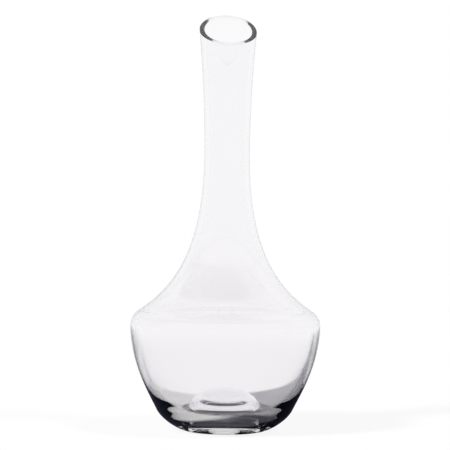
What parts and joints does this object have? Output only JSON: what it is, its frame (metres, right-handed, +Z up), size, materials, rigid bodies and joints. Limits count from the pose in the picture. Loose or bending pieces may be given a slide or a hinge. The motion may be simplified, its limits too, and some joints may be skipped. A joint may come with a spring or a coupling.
{
  "type": "decanter",
  "caption": "Clear thick-walled glass decanter with a wide bowl, rounded shoulder, slim trumpet neck, slant-cut mouth and punted base, for airing and pouring wine or water.",
  "frame": {"origin": "centre of the resting ring, on the surface that the decanter stands on", "axes": "+Z up along the axis of the bowl and neck; the mouth is cut on a slant with its low side towards -Y and its tip towards +Y"},
  "size_m": [0.1352, 0.1352, 0.3],
  "materials": {
    "clear_glass": "clear, fire-polished, with a flat polished rim"
  },
  "bodies": {
    "root": {"glass_vessel": "clear_glass"}
  },
  "joints": []
}
